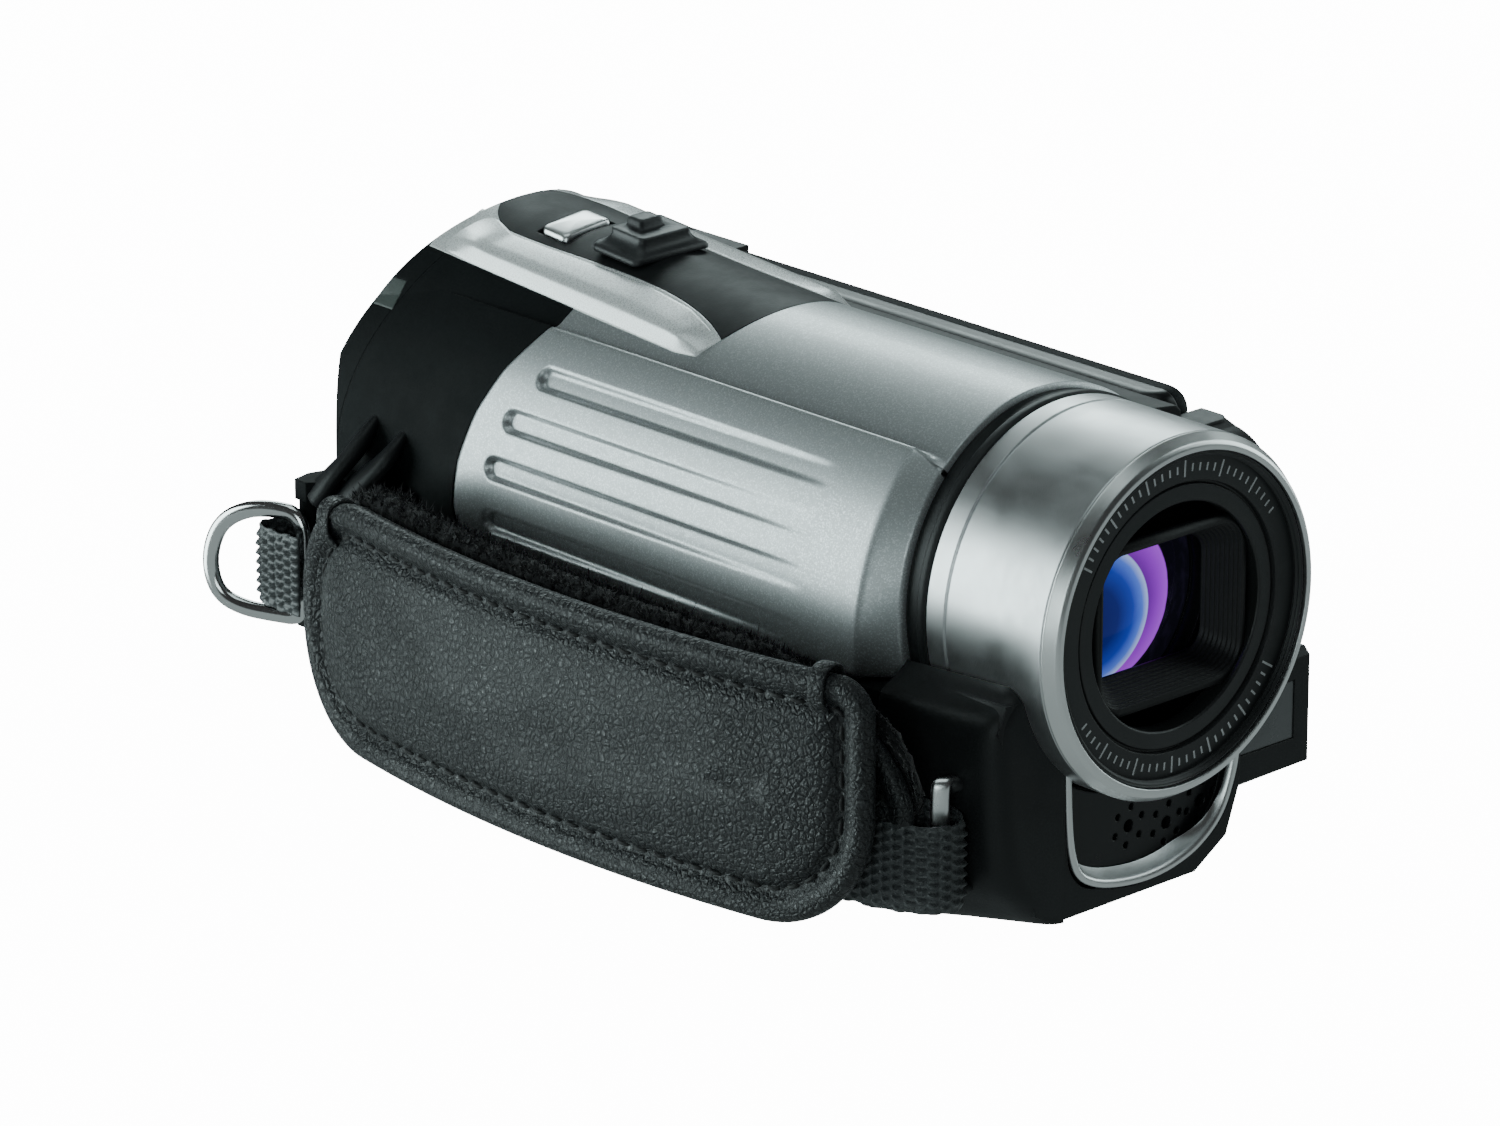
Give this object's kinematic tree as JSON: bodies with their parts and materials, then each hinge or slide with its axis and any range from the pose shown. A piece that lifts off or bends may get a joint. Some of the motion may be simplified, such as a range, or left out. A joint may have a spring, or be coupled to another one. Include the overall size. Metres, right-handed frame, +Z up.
{
  "type": "camcorder",
  "caption": "Handheld camcorder with a round lens barrel, ribbed silver side, leather hand strap, fold-out screen and removable battery pack.",
  "frame": {"origin": "centre of the tripod socket's mouth, in the plane of the base", "axes": "+Z up; the lens points along -Y, so +Y is the back; +X is the side with the fold-out screen and -X the side with the hand strap"},
  "size_m": [0.0725, 0.124, 0.0613],
  "materials": {
    "silver_paint": "satin metallic paint",
    "gloss_silver": "gloss metallic paint",
    "dark_paint": "gloss metallic paint",
    "black_plastic": "fine texture",
    "black_gloss": "gloss",
    "lens_black": "matte",
    "lever_plastic": "satin",
    "barrel_metal": "satin",
    "polished_metal": "polished",
    "steel": "satin",
    "lens_glass": "coated",
    "smoked_window": "gloss",
    "lamp_plastic": "gloss",
    "display_panel": "gloss",
    "grey_keys": "satin",
    "battery_plastic": "fine texture",
    "contact_metal": "plated",
    "circuit": "solder mask",
    "inner_metal": "plain",
    "strap_leather": "grained",
    "strap_pile": "pile",
    "strap_webbing": "coarse weave"
  },
  "bodies": {
    "camera": {"base_cover": "black_plastic", "base_screws": "steel", "tripod_socket": "steel", "side_cover": "silver_paint", "grip_housing": "black_plastic", "top_trim": "gloss_silver", "control_panel": "black_gloss", "screen_housing": "black_plastic", "speaker": "inner_metal", "rear_housing": "black_plastic", "battery_contacts": "contact_metal", "access_lamp": "lamp_plastic", "lens_bezel": "polished_metal", "lens_barrel": "barrel_metal", "spacer_ring": "black_plastic", "lens_face_ring": "black_gloss", "lens_baffle": "lens_black", "front_lens": "lens_glass", "lens_tube": "lens_black", "image_sensor": "circuit", "main_board": "circuit", "chassis_frame": "inner_metal", "front_housing": "black_plastic", "microphone_trim": "polished_metal", "microphone_grille": "black_gloss", "microphones": "inner_metal", "sensor_window": "smoked_window", "terminals": "battery_plastic", "hinge_bracket": "steel", "hinge_pin": "steel", "strap_pad": "strap_leather", "strap_lining": "strap_pile", "strap_tab": "strap_leather", "front_webbing": "strap_webbing", "strap_bar": "steel", "rear_webbing": "strap_webbing"},
    "screen": {"screen_shell": "dark_paint", "screen_bezel": "black_gloss", "screen_display": "display_panel", "hinge_block": "steel"},
    "zoom_lever": {"zoom_lever": "lever_plastic"},
    "photo_button": {"photo_button": "polished_metal"},
    "start_stop_button": {"start_stop_button": "polished_metal"},
    "mode_switch": {"mode_switch": "black_plastic"},
    "battery_pack": {"battery_pack": "battery_plastic"},
    "battery_catch": {"battery_catch": "black_plastic"},
    "card_door": {"card_door": "black_plastic"},
    "memory_card": {"memory_card": "battery_plastic"},
    "power_button": {"power_button": "lever_plastic"},
    "playback_button": {"playback_button": "lever_plastic"},
    "upper_barrier": {"upper_barrier": "lens_black"},
    "lower_barrier": {"lower_barrier": "lens_black"},
    "lens_cover_switch": {"lens_cover_switch": "black_plastic"},
    "zoom_group": {"zoom_group": "lens_glass"},
    "focus_group": {"focus_group": "lens_glass"},
    "screen_record_key": {"screen_record_key": "grey_keys"},
    "screen_zoom_rocker": {"screen_zoom_rocker": "grey_keys"},
    "terminal_cover": {"terminal_cover": "black_plastic"},
    "strap_ring": {"strap_ring": "steel"}
  },
  "joints": [
    {"name": "screen_open", "type": "hinge", "parent": "camera", "child": "screen", "pos_m": [0.0261, -0.0243, 0.026], "axis": [0, 0, -1], "range_deg": [0, 90]},
    {"name": "zoom_rocker", "type": "hinge", "parent": "camera", "child": "zoom_lever", "pos_m": [0, 0.0308, 0.03541], "axis": [0, 0.9973, 0.0732], "range_deg": [-5, 5], "stiffness_Nm_per_rad": 0.25},
    {"name": "photo_press", "type": "slide", "parent": "camera", "child": "photo_button", "axis": [0, 0, -1], "range_m": [0, 0.0008], "stiffness_N_per_m": 1200},
    {"name": "start_stop_press", "type": "slide", "parent": "camera", "child": "start_stop_button", "axis": [0, -1, 0], "range_m": [0, 0.0008], "stiffness_N_per_m": 1200},
    {"name": "mode_slide", "type": "slide", "parent": "camera", "child": "mode_switch", "axis": [1, 0, 0], "range_m": [-0.0023, 0.0023]},
    {"name": "battery_slide", "type": "slide", "parent": "camera", "child": "battery_pack", "axis": [0, 1, 0], "range_m": [0, 0.022]},
    {"name": "battery_catch_slide", "type": "slide", "parent": "camera", "child": "battery_catch", "axis": [0, 0, -1], "range_m": [0, 0.003], "stiffness_N_per_m": 300},
    {"name": "card_door_hinge", "type": "hinge", "parent": "camera", "child": "card_door", "pos_m": [-0.0264, 0.023, 0.0056], "axis": [0, -1, 0], "range_deg": [0, 80]},
    {"name": "card_eject", "type": "slide", "parent": "camera", "child": "memory_card", "axis": [-1, 0, 0], "range_m": [0, 0.003]},
    {"name": "power_press", "type": "slide", "parent": "camera", "child": "power_button", "axis": [-1, 0, 0], "range_m": [0, 0.0005], "stiffness_N_per_m": 1200},
    {"name": "playback_press", "type": "slide", "parent": "camera", "child": "playback_button", "axis": [-1, 0, 0], "range_m": [0, 0.0005], "stiffness_N_per_m": 1200},
    {"name": "lens_cover_slide", "type": "slide", "parent": "camera", "child": "lens_cover_switch", "axis": [0, 0, 1], "range_m": [0, 0.004]},
    {"name": "upper_barrier_slide", "type": "slide", "parent": "camera", "child": "upper_barrier", "axis": [0, 0, -1], "range_m": [0, 0.007]},
    {"name": "lower_barrier_slide", "type": "slide", "parent": "camera", "child": "lower_barrier", "axis": [0, 0, 1], "range_m": [0, 0.007]},
    {"name": "zoom_travel", "type": "slide", "parent": "camera", "child": "zoom_group", "axis": [0, 1, 0], "range_m": [0, 0.016]},
    {"name": "focus_travel", "type": "slide", "parent": "camera", "child": "focus_group", "axis": [0, 1, 0], "range_m": [0, 0.0048]},
    {"name": "screen_record_press", "type": "slide", "parent": "screen", "child": "screen_record_key", "axis": [1, 0, 0], "range_m": [0, 0.0004], "stiffness_N_per_m": 1200},
    {"name": "screen_zoom_press", "type": "slide", "parent": "screen", "child": "screen_zoom_rocker", "axis": [1, 0, 0], "range_m": [0, 0.0004], "stiffness_N_per_m": 1200},
    {"name": "terminal_cover_hinge", "type": "hinge", "parent": "camera", "child": "terminal_cover", "pos_m": [0.0289, -0.0384, 0.024], "axis": [0, 0, -1], "range_deg": [0, 100]},
    {"name": "strap_ring_swing", "type": "hinge", "parent": "camera", "child": "strap_ring", "pos_m": [-0.0326, 0.0552, 0.01855], "axis": [0, 0, 1], "range_deg": [-15, 30]}
  ],
  "couplings": [
    {"joint": "upper_barrier_slide", "follows": "lens_cover_slide", "ratio": 1.75},
    {"joint": "lower_barrier_slide", "follows": "lens_cover_slide", "ratio": 1.75},
    {"joint": "focus_travel", "follows": "zoom_travel", "ratio": 0.3}
  ]
}
